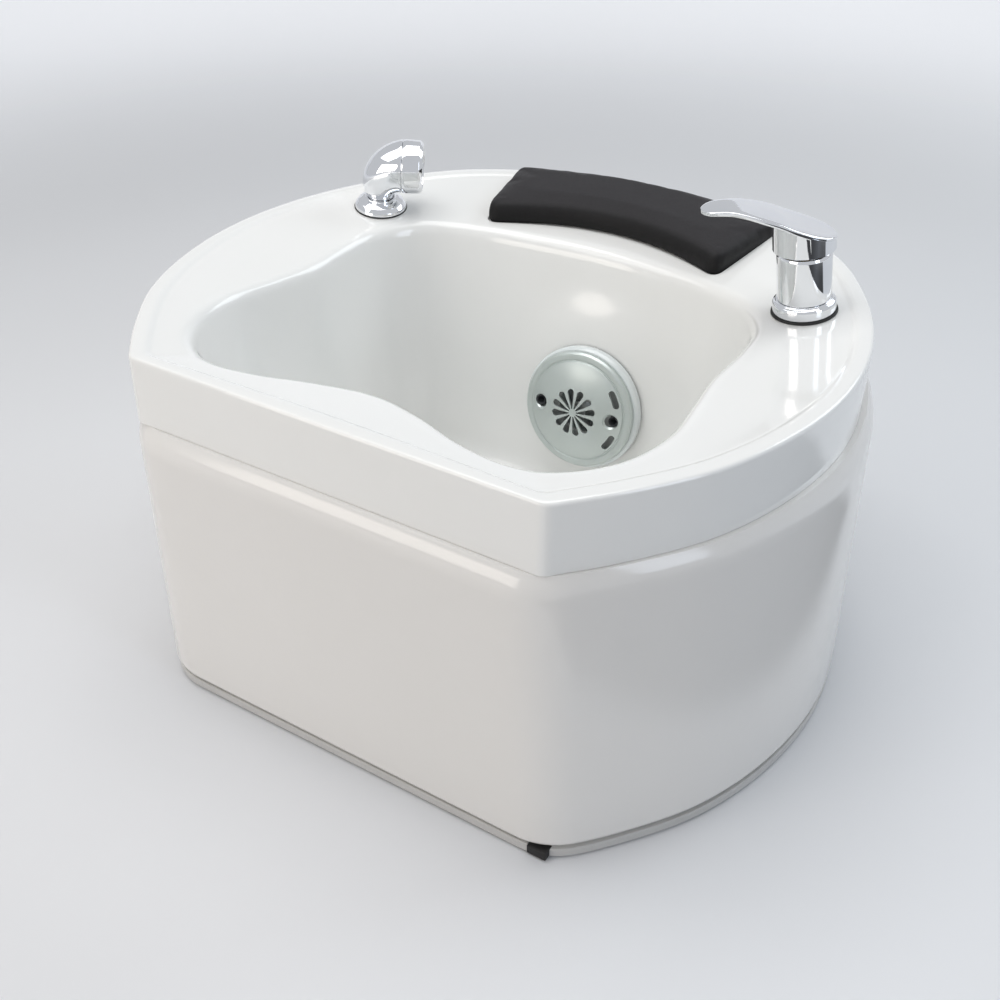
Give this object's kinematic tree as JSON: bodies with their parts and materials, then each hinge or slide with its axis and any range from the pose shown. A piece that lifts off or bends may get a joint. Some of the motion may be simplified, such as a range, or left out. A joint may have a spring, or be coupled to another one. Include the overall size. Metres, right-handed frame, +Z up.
{
  "type": "pedicure foot spa basin",
  "caption": "Pedicure foot basin on a moulded skirt, with a padded foot rest, a single-lever mixer, a pull-out hand shower, a water jet and a push-up drain plug.",
  "frame": {"origin": "on the floor, under the middle of the tub's plan", "axes": "+Z up; the straight side that faces the chair looks along -Y; the mixer is at the back on +X and the hand shower on -X"},
  "size_m": [0.7142, 0.648, 0.4765],
  "materials": {
    "acrylic": "glossy white",
    "skirt_white": "glossy warm white",
    "plinth_grey": "satin light grey",
    "rubber": "black rubber",
    "vinyl": "soft dark grey vinyl over foam",
    "chrome": "polished chrome",
    "brass": "machined brass",
    "steel": "zinc-plated steel",
    "plastic": "white plastic",
    "dark_plastic": "dark grey plastic",
    "hose": "braided grey hose",
    "jet_silver": "silver-plated plastic"
  },
  "bodies": {
    "tub": {"basin_shell": "acrylic", "skirt_shell": "skirt_white", "base_plinth": "plinth_grey", "corner_block": "rubber", "foot_front_left": "rubber", "foot_front_right": "rubber", "foot_back_left": "rubber", "foot_back_right": "rubber", "bowl_support_front": "dark_plastic", "bowl_support_back": "dark_plastic", "pad_board": "dark_plastic", "foot_rest_pad": "vinyl", "pad_stud_left": "steel", "pad_stud_right": "steel", "pad_wing_nut_left": "steel", "pad_wing_nut_right": "steel", "mixer_gasket": "rubber", "mixer_flange": "chrome", "mixer_body": "chrome", "mixer_cartridge": "plastic", "mixer_bonnet_nut": "brass", "mixer_shank": "brass", "mixer_washer": "rubber", "mixer_nut": "brass", "nipple_hot": "brass", "nipple_cold": "brass", "nipple_mixed": "brass", "shower_gasket": "rubber", "shower_flange": "chrome", "shower_guide": "plastic", "shower_washer": "rubber", "shower_nut": "brass", "mixer_hose": "hose", "jet_gasket": "rubber", "jet_housing": "jet_silver", "jet_backing_gasket": "rubber", "jet_lock_nut": "dark_plastic", "jet_motor": "dark_plastic", "jet_diffuser": "plastic", "jet_nozzle_right": "dark_plastic", "jet_nozzle_left": "dark_plastic", "drain_gasket": "rubber", "drain_flange": "chrome", "drain_spider": "plastic", "drain_nut": "plastic", "drain_elbow": "plastic"},
    "lever_carrier": {"cartridge_carrier": "plastic", "spindle_pin": "steel"},
    "lever": {"mixer_spindle": "brass", "lever_handle": "chrome", "lever_set_screw": "steel"},
    "shower_hose": {"shower_hose_tail": "hose"},
    "handset": {"shower_handle": "chrome", "spray_head": "chrome", "spray_plate": "plastic"},
    "jet_front": {"jet_cover": "jet_silver"},
    "impeller": {"jet_shaft": "steel", "jet_impeller": "plastic"},
    "plug": {"drain_plug": "chrome"}
  },
  "joints": [
    {"name": "lever_swivel", "type": "hinge", "parent": "tub", "child": "lever_carrier", "pos_m": [0.24069, 0.09692, 0.41563], "axis": [-0.1168, -0.0756, 0.9903], "range_deg": [-45, 45]},
    {"name": "lever_lift", "type": "hinge", "parent": "lever_carrier", "child": "lever", "pos_m": [0.24069, 0.09692, 0.41563], "axis": [-0.5433, 0.8395, 0], "range_deg": [0, 18]},
    {"name": "shower_pull", "type": "slide", "parent": "tub", "child": "shower_hose", "axis": [0.1168, -0.0756, 0.9903], "range_m": [0, 0.12]},
    {"name": "shower_turn", "type": "hinge", "parent": "shower_hose", "child": "handset", "pos_m": [-0.247, 0.101, 0.36215], "axis": [0.1168, -0.0756, 0.9903], "range_deg": [-180, 180]},
    {"name": "cover_slide", "type": "slide", "parent": "tub", "child": "jet_front", "axis": [0, -0.9848, 0.1736], "range_m": [0, 0.06]},
    {"name": "impeller_spin", "type": "hinge", "parent": "tub", "child": "impeller", "pos_m": [0.017, 0.11103, 0.1835], "axis": [0, -0.9848, 0.1736], "continuous": true},
    {"name": "plug_lift", "type": "slide", "parent": "tub", "child": "plug", "axis": [0, 0, 1], "range_m": [0, 0.007]}
  ]
}
